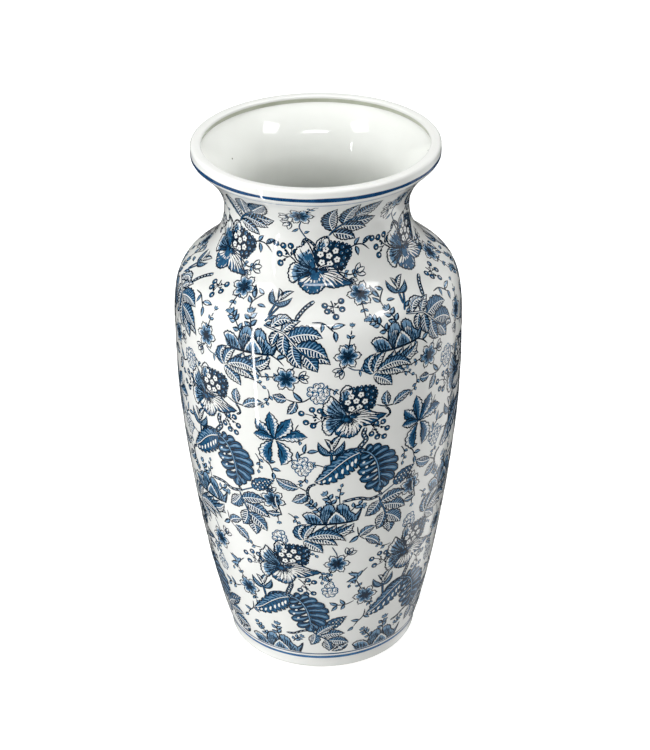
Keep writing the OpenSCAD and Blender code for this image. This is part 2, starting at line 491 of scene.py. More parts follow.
def bellbud(pen, size=1.0):
    """A small white bud with three pointed petals that opens along +X."""
    for k, angle in enumerate((38, -38, 0)):
        tip = toward(angle, 8.5 * size)
        side = bow(0, tip, 0.22, 6)
        other = bow(0, tip, -0.22, 6)
        pen.band(WHITE, 1 + k, side, other)
        pen.line(MID, 2 + k, bow(0, tip * 0.6, 0.02, 3), 1.1 * size)
        pen.line(NAVY, 3 + k, side, 0.95)
        pen.line(NAVY, 3 + k, other, 0.95)


# ---------------- the motifs


def floret_head(pen):
    """The dark head of small florets behind the poppy."""
    head = through([-3+21j, 24.5j, 6.5+26j, 14.5+26.5j, 22.5+25j, 25.5+19j, 24+13j,
                    22.5+7j, 15+4j, 5+2j, -1.5+9j, -4+16j, -3+21j], 5)
    pen.fan(NAVY, 0, 11+14.5j, head, rows=4)
    for k, knob in enumerate(head[:-1:2]):
        pen.disc(NAVY, 1, knob, 1.5, 7)
        if k % 2:
            pen.disc(PALE, 2, knob, 0.6, 5)
    for bead in (17+23.5j, 21.5+21j, 17.5+18.8j, 21+15.5j, 20.5+10.5j, 16.5+7.5j,
                 12+24j, 6.5+23.5j):
        pen.disc(MID, 3, bead, 1.55, 7)
        pen.disc(NAVY, 4, bead, 0.6, 5)
        pen.disc(WHITE, 4, bead + 0.9, 0.4, 5)
    for k, centre in enumerate((4.5+19j, 12.5+19.5j, 1.8+14j, 8.6+14.5j, 15.6+13j,
                                4.6+8j, 11+8.6j)):
        floret(pen, centre, 2.6, turn=k * 23)


def poppy(pen):
    """A big open poppy in front of a head of small white florets. The heart is at 0."""
    floret_head(pen)
    for layer, heart, edge, streaks, reach, base, shade in (
            (1, 16j, [-3.5+17j, -4+24j, 0.5+29.5j, 4.5+28j, 6+23.5j, 3+19j], 5, 0.7, WHITE, 0.45),
            (5, 1+1j, [1+5j, -3+12j, -8+18j, -12+21.5j, -14+17j, -17.5+14j, -18+8j, -15+4j,
                       -8+1.5j], 23, 0.9, WHITE, 0.66),
            (6, 0.5j, [-8+1.5j, -15+1.8j, -18.5-2j, -18.5-9j, -15.5-14j, -12-14.5j, -9-10j,
                       -3-5j], 21, 0.9, WHITE, 0.68),
            (6, 3+1j, [4+4j, 12+7j, 18+5.5j, 24+1.5j, 34-2.5j, 27-6j, 20-9j, 13-9j, 6-5j],
             17, 0.95, MID, 0.9),
            (9, 2+1j, [-9-9j, -8-14j, -3-17j, 3-18.5j, 9-16j, 12.5-10j, 12-5j],
             19, 0.95, MID, 0.9)):
        petal(pen.above(layer), heart, edge, streaks, reach, base, shade)
    lit = pen.above(13)
    for angle, start, end in ((3, 7, 16), (-9, 6, 18), (-21, 7, 20), (-33, 8, 15), (-50, 6, 14),
                              (-64, 7, 16), (-80, 5, 13), (-96, 7, 15), (-113, 6, 13),
                              (-128, 8, 14)):
        glint = bow(2 + toward(angle, start), 2 + toward(angle - 4, end), 0.06, 4)
        lit.line(WHITE, 0, glint, 1.3, (0.2, 0.2))
    lit.disc(NAVY, 0, 1+0.5j, 2.7, 9)
    lit.disc(MID, 1, 0.6-1.2j, 1.8, 7)


def lily_petal(pen, spine, half, flip):
    """A pointed petal, dark along one edge and white with a ruffled edge along the other."""
    order = -1 if flip else 1
    width = (half, half * 1.15)[::order]
    filled = (0.95, 0.42)[::order]
    hatch = ((None, None), (PALE, None))[::order]
    frond(pen, spine, width, filled, hatch=hatch, ruffle=1.4, fat=1.25, rib=None)
    shade = spine + order * sideways(spine) * half * 0.4
    pen.line(NAVY, 2, shade[4:-5], 1.2, (0.1, 0.1))


def star_lily(pen):
    """Five pointed petals over two long lower ones, each half dark and half white."""
    petals = ((134, 23, 4.6, 0.06, False), (173, 18, 4.2, -0.08, True), (98, 25.5, 5.0, 0.0, False),
              (57, 25.5, 5.4, -0.03, False), (10, 27, 5.2, 0.1, False))
    for k, (angle, length, half, bend, flip) in enumerate(petals):
        spine = bow(toward(angle, 0.5), toward(angle, length), bend, 18)
        lily_petal(pen.above(4 * (k % 2)), spine, half, flip)
    for way in (-1, 1):
        spine = bow(1.2 * way - 1j, 4.2 * way - 24j, 0.22 * way, 18)
        lily_petal(pen.above(8), spine, 5.6, way > 0)


def lobe(pen, base, tip, width):
    """A rounded lobe of a great leaf, with a rib and hatching on both sides of it."""
    spine = bow(base, tip, 0.1, 9)
    side = sideways(spine)
    t = np.linspace(0, 1, 10)
    swell = width / 2 * np.minimum(1, 0.35 + t) * np.sqrt(np.maximum(0, 1 - t ** 5))
    one, other = spine + side * swell, spine - side * swell
    pen.band(MID, 0, one, other, 3)
    for edge, share in ((one, 0.55), (other, 0.5)):
        pen.line(NAVY, 1, (spine + share * (edge - spine))[1:-1], 0.9, (0.8, 0.1))
        pen.line(NAVY, 2, edge, 1.2, (0.6, 1))
    pen.line(PALE, 2, spine[1:-1], 0.9, (0.3, 0.2))
    pen.line(PALE, 1, (spine + 0.25 * (one - spine))[3:-1], 0.6, (0.2, 0.2))


def acanthus(pen):
    """Two great leaves arching from one point: one swept to the left, one fanned down."""
    back = through([-18-4j, -12, -4+2.2j, 4+2j, 11-1j], 5)
    frond(pen, back, (3.2, 7), ruffle=0.6, rib=None)
    spine = through([1j, 8, 14-6j, 17.5-15j, 19-25j, 19.5-36j], 4)
    inner = ((6, 2-5j, 8), (9, 1-11j, 8.5), (12, 0.5-18j, 8.5), (15, 2.5-26j, 8.5),
             (18, 7-34j, 8.5))
    outer = ((4, 13+4.5j, 8), (6, 20.5+3j, 8.5), (8, 27.5-2j, 9), (10, 33.5-9j, 9.5),
             (12, 36.5-16.5j, 10), (14, 36-25j, 10), (16, 32-33j, 10), (18, 25-39j, 9.5))
    lobe(pen.above(4), spine[17], 17-42j, 10)
    for k, (index, tip, width) in enumerate(inner + outer):
        lobe(pen.above(4 + 3 * (k % 3)), spine[index], tip, width)
    pen.line(NAVY, 13, spine[2:-1], 2.4, (0.6, 0.3))
    pen.line(PALE, 14, spine[2:-1], 1.0, (0.4, 0.3))
    for fleck in (6.5-9j, 9-14j, 6.5-19j, 10-24j):
        pen.line(WHITE, 14, bow(fleck, fleck - 2 - 1.4j, 0.1, 3), 1.7, (0.4, 0.4))
    left_leaf(pen.above(14))


def left_leaf(pen):
    """The acanthus leaf that sweeps to the left, with white lobes under it."""
    spine = through([2+0.5j, -6-3j, -14.5-9.5j, -23-18j, -30-23.5j, -34-25j], 6)
    lower, upper = frond(pen, spine, (13.5, 7.5), (0.97, 0.97), hatch=((NAVY, None), (NAVY, PALE)),
                         ruffle=1.5, fat=0.62, outline=1.3)
    for i in range(3, len(spine) - 6, 3):
        foot = spine[i] + 0.38 * (lower[i] - spine[i])
        tip = spine[i + 2] + 0.86 * (lower[i + 2] - spine[i + 2])
        pen.line(WHITE, 4, bow(foot, tip, -0.1, 4), 1.9, (0.15, 0.4))
        high = spine[i] + 0.3 * (upper[i] - spine[i])
        far = spine[i + 3] + 0.75 * (upper[i + 3] - spine[i + 3])
        pen.line(PALE, 4, bow(high, far, 0.08, 3), 0.8, (0.2, 0.2))
    pen.line(NAVY, 4, spine[2:-3] - 0.9j, 0.8)


def maple(pen):
    """A hanging spray of pointed leaves on one spine."""
    shapes = ((8-25j, 11-41j, 9.5), (-4j, -12-17j, 10), (2-6j, 25-2.5j, 10),
              (5-17j, -1-34j, 11), (4-10j, 26-19j, 11.5), (7-20j, 22-34j, 11.5))
    leaves(pen, [shape + (0.09,) for shape in shapes], filled=(0.85, 0.7))
    stem(pen.above(9), [0, 1.5-6j, 5-14j, 8-24j], 1.6)


def branch(pen):
    """A branch with many leaves that arches to the right and down."""
    leaves(pen, ((12-3j, 25+7j, 6.5, 0.12), (3, 20+4.5j, 7.5, 0.3)), filled=(0.3, 0.8))
    leaves(pen, ((9-3j, 5-14j, 6.5, -0.1), (21-12j, 29-31j, 10, -0.12),
                 (14-5j, 17-22j, 9, -0.1), (17-7j, 44-6j, 12, 0.12),
                 (29-19j, 41-34j, 10.5, 0.05), (24-14j, 49-23j, 12, 0.12),
                 (33-22j, 51-28j, 7.5, 0.15)), filled=(0.92, 0.8))
    stem(pen.above(9), [-3+1j, 6-1j, 14-3.5j, 21-10j, 28-17j, 36-23j], 1.7)
    pen.line(WHITE, 12, through([-1+0.6j, 6-1j, 14-3.5j, 20-9j, 28-17j]), 0.6)


def cone(pen):
    """A scaly bud that points along +X."""
    frond(pen, bow(-1, 23, 0.04, 18), (6, 6), hatch=((None, None),) * 2,
          ruffle=0.8, rib=None, fat=0.72, outline=1.1)
    for row in range(7):
        for k in range(-1, 2):
            scale = complex(2.8 + row * 2.8, (k + 0.5 * (row % 2)) * (3.1 - 0.3 * row))
            pen.disc(NAVY, 3, scale, 1.5 - 0.08 * row, 7)
            pen.disc(WHITE if (row + k) % 2 else PALE, 4, scale + 0.3, 0.9 - 0.06 * row, 6)


def wreath(pen):
    """The band of leaves under the peony."""
    leaves(pen, ((-24-18j, -21-1j, 8, 0.3), (-23-17j, -12-1j, 7, 0.16),
                 (-16-15j, -5-1.5j, 7.5, -0.12), (-11-14j, 3-1.5j, 7.5, -0.12),
                 (-5-13.5j, 11-1.5j, 7.5, -0.12), (1-13j, 17.5-2j, 7, -0.12),
                 (2-12.5j, 18-12j, 6.5, 0.15)), filled=(0.92, 0.45))
    leaves(pen.above(9), ((-24-20j, -8-32j, 9.5, 0.1), (-21-17.5j, 4-24.5j, 9, 0.14),
                          (-20-16j, 11-20.5j, 9, 0.2)), filled=(0.92, 0.5))


def peony(pen):
    """A flower seen from the side, over a wreath of leaves. The middle of its base is at 0."""
    wreath(pen)
    for layer, heart, edge, streaks, reach, shade in (
            (0, 18-4j, [16+1j, 18+6j, 21+9j, 24+13.5j, 22.5+7j, 20.5+0.5j], 7, 0.8, 0.75),
            (4, 10-6j, [4, 3+12j, 3.5+18.5j, 8+20j, 12.5+16.5j, 14+11.5j, 18+7.5j, 17.5+2j],
             17, 0.92, 0.8),
            (4, -5-6j, [-10, -10.5+6j, -9.5+13j, -7+18.5j, -3+20.5j, 0.5+18.5j, 2+13j, 2],
             17, 0.92, 0.8),
            (8, -13-8j, [-20, -22+5j, -24.5+9j, -21+11.8j, -15+11.2j, -10+6.5j, -7.5+0.2j],
             15, 0.9, 0.74),
            (8, 3-11j, [-5, -3.5+5.5j, 10.5j, 2.5+12.8j, 5.5+10.5j, 10+5j, 11.5],
             15, 0.84, 0.7)):
        petal(pen.above(layer), heart, edge, streaks, reach, shade=shade, floor=0)
    pen.line(NAVY, 13, through([-21-0.2j, -10-0.9j, 2-0.7j, 12-0.2j, 21+0.8j]), 1.9)


def tulip(pen):
    """A bud between two long sepals on an upright stem. The foot of the bud is at 0."""
    stem(pen, [0.5-12j, 0.2-6j, 0, 0.4+6j, 0.2+13j], 2.4)
    for way in (-1, 1):
        spine = through([0, way * 5 + 1.2j, way * 8.8 + 5.5j, way * 10.5 + 12.5j], 6)
        frond(pen.above(2), spine, (3.6, 2.0)[::way], fills=(PALE, MID)[::way],
              hatch=((NAVY, None),) * 2, ruffle=0.2, fat=0.9, outline=1.1, rib=None)
    leaf(pen.above(2), 0.5+4j, 9+18j, 5.4, bend=0.14, ruffle=0.3)
    leaf(pen.above(2), 0.2+5j, -5.5+15j, 4.2, bend=-0.14, ruffle=0.3)
    berry(pen.above(5), 0.2+2.6j, 2.2)


def twisted(pen, points, width=4.0):
    """A twisted ribbon of stem, white between dark edges."""
    line = through(points, 6)
    wave = np.sin(np.linspace(0, math.pi * len(points) * 1.6, len(line)))
    swing = sideways(line) * wave * width
    pen.line(NAVY, 0, line, width * 1.15, (0.6, 0.6))
    pen.line(PALE, 1, line, width * 0.6)
    pen.line(WHITE, 2, line + 0.16 * swing, width * 0.3)
    pen.line(NAVY, 3, line + 0.36 * swing, 0.9)
    pen.line(NAVY, 3, line - 0.36 * swing, 0.9)


def vine(pen, points, leaves, width=1.15):
    """A thin stem with open leaves; each leaf is a base, a tip and a width."""
    pen.line(NAVY, 0, through(points), width, (0.5, 0.3))
    for base, tip, broad in leaves:
        if broad > 4:
            open_leaf(pen, base, tip, broad)
        else:
            leaflet(pen, base, tip, broad * 1.1)


# ---------------- the print's rows


def belly_poppies(at):
    """The top of the belly's band: a poppy and a lily, and what hangs round them."""
    poppy(at(20, 267))
    tendril(at(62, 297), 15-4j)
    tendril(at(-17, 262), 1-15j, -0.2)
    tendril(at(-41, 291), -4-14j, 0.2)
    star_lily(at(-36.5, 246))
    berries(at(3, 262), -2+4j, [-17.5+10.5j, -9+14j, -3+13j, -14+2.5j, -8.5-0.5j, 1+10j], 2-3j)
    cluster(at(-1, 297))
    twig(at(3, 293), [0, 5+1.5j, 12-4j], 3)
    vine(at(-10, 285), [4+2.5j, -3-2j, -10-2.5j, -17-0.5j],
         [(-16-0.5j, -27+2j, 7.5), (-9-2.5j, -16-14j, 6.5), (-3-2j, -11+7j, 3.6)])
    tulip(at(8.5, 234))
    twisted(at(36, 256), [0, -1.5-6j, 0.5-11j, -4-17j, -7-22j])
    berries(at(40, 257), 3-2j, [1-8j, 5+1j, 11+1j, 6-12j, 12-13j, 14.5-6j], -2+3j)
    vine(at(45, 275), [0, 7-3j, 13-3.5j, 20-4j], [(10-2.5j, 9.5+10.5j, 7.5), (15-4j, 33+3j, 7.5)])
    twisted(at(53, 271), [0, 3-3j, 4-7j, 0.5-9.5j], 1.8)


def belly_leaves(at):
    """The middle of the belly's band: the great leaves and the vines beside them."""
    acanthus(at(29, 233))
    cluster(at(-14.5, 229))
    twig(at(-9, 224), [0, 4+0.5j, 10-1j, 16-4.5j], 2.8)
    vine(at(-17, 228), [0, 0.5+5j, 6+8.5j],
         [(0, -1+9.5j, 3), (4+7j, 6+17j, 3), (6+8j, 16+9.5j, 3.4)])
    vine(at(-45, 224), [0, 4-4j, 6-11j],
         [(2-1j, 9+0.5j, 3.2), (5-7j, 13-8j, 3.2), (6-10j, 6-18j, 3.2)])
    vine(at(-10, 196), [-8+6j, -1+1j, 1-7j], [(-8+5j, -26.5+13j, 9), (-2-1j, -14-9j, 8.5)])
    twisted(at(-10, 195), [1-5j, -1+2j, 1+8j, 6+10.5j], 2.2)
    ruffled_sprig(at(-39.5, 186, -15), [(3-5j, 9-20j)], [(-4+6j, 100)])


def belly_peonies(at):
    """The foot of the belly's band: a peony, a spray of leaves and small flowers."""
    peony(at(9, 165))
    sprig(at(-1, 176), [0, -4+6j, -10+12j], leaves=3, length=4.5)
    sprig(at(9, 181), [0, -1.5+7j, -5+13j], leaves=2, length=5)
    sprig(at(24, 176), [0, 5+5j, 9+4j], leaves=2, length=4.5)
    tendril(at(15, 184), 1+17j, 0.05)
    maple(at(48, 185))
    twisted(at(50, 187), [0, -10-2j, -20+1j, -33-0.5j], 2.8)
    twisted(at(49, 196), [0, -1-5j, 2-10j], 2.2)
    cone(at(62, 194, 31))
    tendril(at(-12, 216), -8-12j, 0.2)
    tendril(at(68, 229), 2-15j)
    tendril(at(-27, 174), 7-12j)
    tendril(at(-16, 141), 10-10j, -0.2)
    cluster(at(-35, 152), (2, 3, 3, 2))
    stem(at(50, 187), [0, 5+3j, 13+7.5j], 1.1)
    vine(at(84, 171), [0, -2+8j, -3+13j], [(-3+8j, -4+20j, 6), (-1+2j, -13+1.5j, 5.5)])
    vine(at(30, 150), [-1+8j, 0.5-1j, 6-7j],
         [(1-2j, 15+5j, 7.5), (6-5j, 19-16j, 8.5), (0.5-1j, -8-8j, 3.8)])


def ruffled_sprig(pen, tails, buds, size=1.0):
    """A ruffled flower with tufted sprigs and white buds round it."""
    for via, end in tails:
        sprig(pen, [via * 0.4, via, end], leaves=3, length=3.4)
    for place, degrees in buds:
        stem(pen, [0, place * 0.6, place], 0.7, core=False)
        bellbud(pen.at(place, degrees, size))
    ruffled(pen)


def shoulder_row(at):
    """The band of print from the widest place up over the shoulder."""
    peony(at(66, 321))
    sprig(at(56, 334), [0, -6+8j, -11+13j], leaves=3, length=5)
    sprig(at(65, 337), [0, -2.5+8j, -4+14j], leaves=2, length=5.5)
    ruffled_sprig(at(22, 321), [(1+7j, 5+23j)], [(-4-11j, 220)])
    stem(at(22, 312), [0, 5-3j, 10-4j, 17-8j], 0.9)
    leaflet(at(31, 308), 0, 1-6j, 2.2)
    leaflet(at(33, 307), 0, 2+5j, 2.2)
    ruffled_sprig(at(-26, 302), [(-7+1j, -22-1j)], [(10+2j, 8)])
    stem(at(-24, 308), [0, 4+4j, 7+9j, 7+15j], 0.9)
    vine(at(-45, 321), [0, 6+0.5j, 13-3j, 18-8j],
         [(6+0.5j, 11+2.5j, 2.8), (12-2.5j, 20+1j, 3.6), (5, 3.5-9j, 3)])
    branch(at(-40, 343))
    vine(at(-5, 349), [0, 8-0.5j, 14-5j, 17-8j],
         [(14-5j, 26-3j, 3.8), (17-7j, 18.5-16j, 3.6), (8, 7-8j, 2.8)])
    tulip(at(-33.5, 362, -18, 0.85))
    stem(at(-42, 347), [0, 3.5+6j, 8+14j], 1.8)
    leaflet(at(-40, 349), 0, 10+3j, 3.6)
    leaflet(at(-42, 345), 0, 8.5+1j, 3.2)
    twisted(at(-3, 367), [0, -6-5j, -10-10j, -14-16j], 3.2)
    berries(at(11, 362), 0.5-1j, [-6+1j, 7+4j, -4.5-4j, 7-3j, 1.5-9j], -1+5j)
    ruffled_sprig(at(33, 370), [(-1-7j, -2-21j)], [], 0.9)
    vine(at(54, 352), [0, -1+8j, 3+14j, 6+17j],
         [(-1+7j, -6+13j, 3.4), (11j, -4+23j, 4), (6+17j, -0.5+21j, 3.2)])
    leaflet(at(55, 359), 0, 8-1j, 3)


def neck_row(at):
    """The band of print round the neck."""
    poppy(at(-3.5, 391, -17, 0.98))
    berries(at(-18, 398), -3+3j, [-15+12j, -9+11j, -3+11.5j, -12+4j, -11-3j, 1+7j], 3-3j)
    ruffled_sprig(at(-13, 441), [(5+6j, 13+15j)], [(-8-9j, 215), (-9-2j, 190)])
    stem(at(-12, 434), [0, -2-7j, 1-14j, 5-20j], 1.0)
    leaflet(at(-14, 426), 0, -6-4j, 2.4)
    leaflet(at(-10, 421), 0, 4.5+2.5j, 2.4)
    twisted(at(-12, 411), [0, 3+5j, 8+2j, 12-3j], 2.2)
    twisted(at(0, 409), [0, 4+7j, 9+9j], 2.4)
    neck_leaves(at(9, 419))
    vine(at(21, 404), [0, 8+4j, 15+3.5j, 21-2j],
         [(8+4j, 13+10j, 3), (15+3.5j, 23+9j, 3.6), (9+3.5j, 11-5j, 3.2)])
    twig(at(17, 389), [0, 7-3j, 13-2.5j], 3.4)
    bellbud(at(30, 386.5, 20))
    bellbud(at(25, 383, -60, 0.8))


def neck_leaves(pen):
    """A spray of pointed leaves on an arching spine."""
    leaves(pen, ((3+4j, 5+33j, 11, 0.14), (11+10j, 23+37j, 11, 0.06),
                 (20+17j, 42+34j, 12, 0.0), (15+13j, 38+12j, 10.5, -0.08),
                 (9+8j, 30+3j, 9, 0.05), (3+2j, 21-5.5j, 8.5, 0.08)),
           fills=(NAVY, MID), hatch=((PALE, None), (NAVY, WHITE)))
    stem(pen.above(9), [0, 5+6j, 13+12j, 22+18j], 1.7)


def lower_row(at):
    """The band of print between the belly and the foot."""
    poppy(at(-35, 114))
    tendril(at(-5, 114), 4-13j, 0.2)
    tendril(at(24, 110), -1-15j, 0.2)
    tendril(at(-7, 79), 4-14j)
    tendril(at(-52, 131), -14+5j)
    berries(at(-17, 99), 2-2j, [-2-9j, 5+3j, 10+1j, 3-13j, 9-12j], -3+4j)
    twisted(at(-26, 98), [0, -1-5j, -3-10j, -5-16j])
    tulip(at(-51.5, 85, 4, 0.9))
    berries(at(-53, 110), -2+3j, [-14+9j, -7+13j, -1+12j, -11+1j, 2+8j], 2-3j)
    acanthus(at(-31, 80, 0, 0.96))
    cluster(at(6, 98), (1, 2, 3, 3, 2))
    twig(at(6, 99), [0, -1+4j, -3+9j], 3)
    ruffled_sprig(at(12, 120), [(-3-5j, -9-16j)], [(9+9j, 60)])
    stem(at(12, 124), [0, 6j, -2+11j, -4+15j], 0.9)
    vine(at(38, 111), [0, -5-5j, -9-11j, -10-17j],
         [(-6-6j, -17-2.5j, 3.8), (-7-8j, -18-13j, 3.8), (-8-9j, -4-2j, 3.2)])
    ruffled_sprig(at(36, 79), [(-3+6j, -9+20j), (2-6j, 6-14j)], [])
    vine(at(26, 75), [0, -7-3j, -14-3j, -20-2j],
         [(-7-3j, -12+4j, 3), (-13-3j, -21+1j, 3.2), (-14-3j, -19-10j, 3.2),
          (-8-3j, -11-9j, 3)])
    cone(at(3, 44, 38, 0.95))
    stem(at(-8, 43), [0, 5-1j, 11+1j], 1.1)
    maple(at(-9, 40, 28, 0.85))
    peony(at(-40, 11))
    sprig(at(-50, 24), [0, -4+6j, -8+12j], leaves=3, length=4.2)
    sprig(at(-38, 28), [0, -2+7j, -1+14j], leaves=2, length=5)
    sprig(at(-26, 25), [0, 3+4j, 7+7j], leaves=2, length=4)
    twisted(at(-10, 42), [0, -8-2j, -15-6j, -22-7j], 2.4)
    vine(at(36, 62), [0, -1-8j, -6-14j, -9-19j],
         [(-1-8j, 5-12j, 3), (-4-12j, -12-11j, 3.2), (-9-19j, -14-24j, 3)])
    leaf(at(20, 22), 0, -13-8j, 7)
    vine(at(40, 62), [0, 6+2j, 12+2j], [(6+2j, 9-4j, 2.8), (11+2j, 17+6j, 3)])


# ---------------- building the meshes

SIDES = 240
FRONT_STEP, FRONT_BEND = 2.2, 5
BACK_STEP, BACK_BEND = 12, 15
COVE_SHARE = 0.22
LINE_SIDES = 480
LINE_LIFT = 0.12
LINE_SINK = -0.1
SPECK_SIDES = 12
SPECK_EDGE, SPECK_LIFT = 0.04, 0.12


def placed(name, data):
    """A new object in the scene."""
    thing = bpy.data.objects.new(name, data)
    bpy.context.scene.collection.objects.link(thing)
    return thing


def make_piece(name, places, faces, material, normals=None):
    """A smooth mesh object that rides on the vase's one body."""
    mesh = bpy.data.meshes.new(name)
    mesh.from_pydata([tuple(p) for p in places], [], faces)
    mesh.validate()
    mesh.polygons.foreach_set("use_smooth", [True] * len(mesh.polygons))
    mesh.materials.append(material)
    if normals is not None:
        mesh.normals_split_custom_set_from_vertices([tuple(n) for n in normals])
    piece = placed(name, mesh)
    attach(piece, "root")
    return piece


def ring_faces(rows, sides, closed=False):
    """The faces between rings of points; if they are closed, the last ring joins the first."""
    faces = []
    for row in range(rows if closed else rows - 1):
        low, high = row * sides, (row + 1) % rows * sides
        ends = [(i, (i + 1) % sides) for i in range(sides)]
        faces.extend((low + i, low + j, high + j, high + i) for i, j in ends)
    return faces


def turned_piece(name, outline, material):
    """A closed ring turned about Z from a closed outline of radius and height."""
    outline = np.array(outline)
    count = len(outline)
    angles = np.arange(SIDES) * FULL_TURN / SIDES
    places = MM * turned(np.tile(outline, SIDES), np.repeat(angles, count))
    faces = [(a, d, c, b) for a, b, c, d in ring_faces(SIDES, count, closed=True)]
    return make_piece(name, places, faces, material)


def inside_line(lift):
    """The inside of the wall from the groove down to the floor, a lift over its glaze."""
    u = np.linspace(0, len(STRETCHES), len(WALL), endpoint=False)
    wall = BODY_WALL + (LIP_WALL - BODY_WALL) * np.clip(u - 1, 0, 3) / 3
    inside = WALL + sideways(WALL) * (wall - lift)
    cove_start = int(COVE_SHARE * CURVE_STEPS)
    top = inside[cove_start]
    bottom = FLOOR - lift * 1j
    cove = curve((top, top - toward(71, 14), bottom + 11, bottom), np.linspace(0, 1, 24))
    return list(inside[:cove_start:-1]) + list(cove) + [complex(0.5, bottom.imag)]


def pooled_outline():
    """The glaze that has gathered in the groove behind the lip's bead."""
    bead = arc(BEAD_CENTRE, BEAD_ROUND, BEAD_END - 12, BEAD_END, 3)
    wall = [p for p in inside_line(-0.05) if GROOVE.imag - 1.5 < p.imag < GROOVE.imag - 0.3]
    ends = (bead[0], bead[0] - 0.5j, wall[-1] + 0.6j, wall[-1])
    hollow = curve(ends, np.linspace(0, 1, 8)[1:-1])
    return bead + [GROOVE] + wall + list(hollow[::-1])


def shell(front, back):
    """A closed outline with a fine front and a coarse back."""
    return thinned(front, FRONT_STEP, FRONT_BEND) + thinned(back[::-1], BACK_STEP, BACK_BEND)


def in_one(spots):
    """The places and the normals of several rows of spots on the wall, each in one array."""
    return [np.concatenate(part) for part in zip(*spots)]


def line_ring(name, low, high, material, sway, breaks):
    """A brushed line round the wall, between two distances up, a little uneven."""
    sides = LINE_SIDES
    angle = np.linspace(0, FULL_TURN, sides, endpoint=False)
    waves = np.sin(3 * angle + 1) + 0.6 * np.sin(7 * angle + 2) + 0.3 * np.sin(23 * angle)
    swell = 1 + breaks * np.sin(5 * angle + 0.6) + 0.5 * breaks * np.sin(17 * angle)
    middle = (low + high) / 2 + sway * waves
    half = (high - low) / 2 * swell
    rows = ((-1, LINE_SINK), (-0.96, LINE_LIFT * 0.8), (-0.3, LINE_LIFT),
            (0.3, LINE_LIFT), (0.96, LINE_LIFT * 0.8), (1, LINE_SINK))
    spots = [on_wall(angle, middle + share * half, height) for share, height in rows]
    places, normals = in_one(spots)
    return make_piece(name, places, ring_faces(len(rows), sides), material, normals)


def kiln_specks(spots, material):
    """Tiny dark specks in the glaze inside the mouth: degrees from the front, height, radius."""
    line = np.array(inside_line(0))[::-1]
    sides = SPECK_SIDES
    turn = np.arange(sides) * FULL_TURN / sides
    places = []
    faces = []
    for degrees, height, radius in spots:
        middle, ahead = (complex(np.interp(z, line.imag, line.real), z)
                         for z in (height, height + 1))
        upward = (ahead - middle) / abs(ahead - middle)
        edge = middle + (SPECK_EDGE * 1j + radius * np.sin(turn)) * upward
        profile = np.append(edge, middle + SPECK_LIFT * 1j * upward)
        angle = math.radians(degrees) + np.append(radius * np.cos(turn) / middle.real, 0)
        start = len(places)
        places.extend(MM * turned(profile, angle))
        faces.extend((start + (i + 1) % sides, start + i, start + sides) for i in range(sides))
    specks = make_piece("kiln_specks", places, faces, material)


def print_pieces(sheet, node, inks):
    """One mesh for each tone of a sheet of print, repeated round the wall."""
    for tone in TONES:
        angle, up, lift = np.concatenate(sheet.corners[tone]).T
        faces = np.array([f if len(f) == 4 else f + (f[-1],) for f in sheet.faces[tone]])
        turns = range(REPEATS)
        spots = [on_wall(angle + turn * FULL_TURN / REPEATS, up, lift) for turn in turns]
        places, normals = in_one(spots)
        faces = np.concatenate([faces + turn * len(angle) for turn in turns]).tolist()
        piece = make_piece(f"{node}_{tone}", places, faces, inks[tone], normals)
        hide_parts(node)


# ---------------- materials

# How many lumps of noise there are to a metre.
GLOSS_LUMPS = 40.0
RIPPLE_LUMPS = 55.0
CLAY_LUMPS = 260.0
GRAIN_LUMPS = 1800.0
INK_LUMPS = 320.0
LINE_LUMPS = 180.0
GLAZE_RIPPLE, GLAZE_RIPPLE_DEPTH = 0.03, 0.002
CLAY_GRAIN, CLAY_GRAIN_DEPTH = 0.35, 0.0004
CLAY_ROUGHNESS = 0.85
STAGE_ROUGHNESS = 0.9


def linear_part(value):
    """One part of a screen colour, 0 to 255, as light (the sRGB curve)."""
    share = value / 255
    return share / 12.92 if value <= 10 else ((share + 0.055) / 1.055) ** 2.4


def linear(red, green, blue):
    """A colour given as it looks on a screen, as the shader's linear colour."""
    return (linear_part(red), linear_part(green), linear_part(blue), 1.0)


class Paint:
    """A material with short names for what it is built from."""

    def __init__(self, name):
        self.material = bpy.data.materials.new(name)
        self.material.use_nodes = True
        self.nodes = self.material.node_tree.nodes
        self.link = self.material.node_tree.links.new
        self.inputs = self.nodes["Principled BSDF"].inputs

    def noise(self, scale, detail=4.0, roughness=0.6):
        """Noise that is fixed to the object, with its scale in lumps per metre."""
        where = self.nodes.new("ShaderNodeTexCoord")
        texture = self.nodes.new("ShaderNodeTexNoise")
        texture.inputs["Scale"].default_value = scale
        texture.inputs["Detail"].default_value = detail
        texture.inputs["Roughness"].default_value = roughness
        self.link(where.outputs["Object"], texture.inputs["Vector"])
        return texture.outputs["Fac"]

    def bump(self, height, strength, depth):
        """A rippled or grainy surface; the depth is in metres."""
        bump = self.nodes.new("ShaderNodeBump")
        bump.inputs["Strength"].default_value = strength
        bump.inputs["Distance"].default_value = depth
        self.link(height, bump.inputs["Height"])
        self.link(bump.outputs["Normal"], self.inputs["Normal"])


def ramp(tree, value, stops):
    """A colour ramp with the given (position, colour) stops."""
    node = tree.nodes.new("ShaderNodeValToRGB")
    elements = node.color_ramp.elements
    while len(elements) < len(stops):
        elements.new(0.5)
    for element, (position, colour) in zip(elements, stops):
        element.position = position
        element.color = colour
    tree.links.new(value, node.inputs["Fac"])
    return node.outputs["Color"]


def grey(value):
    """An opaque grey."""
    return (value, value, value, 1.0)


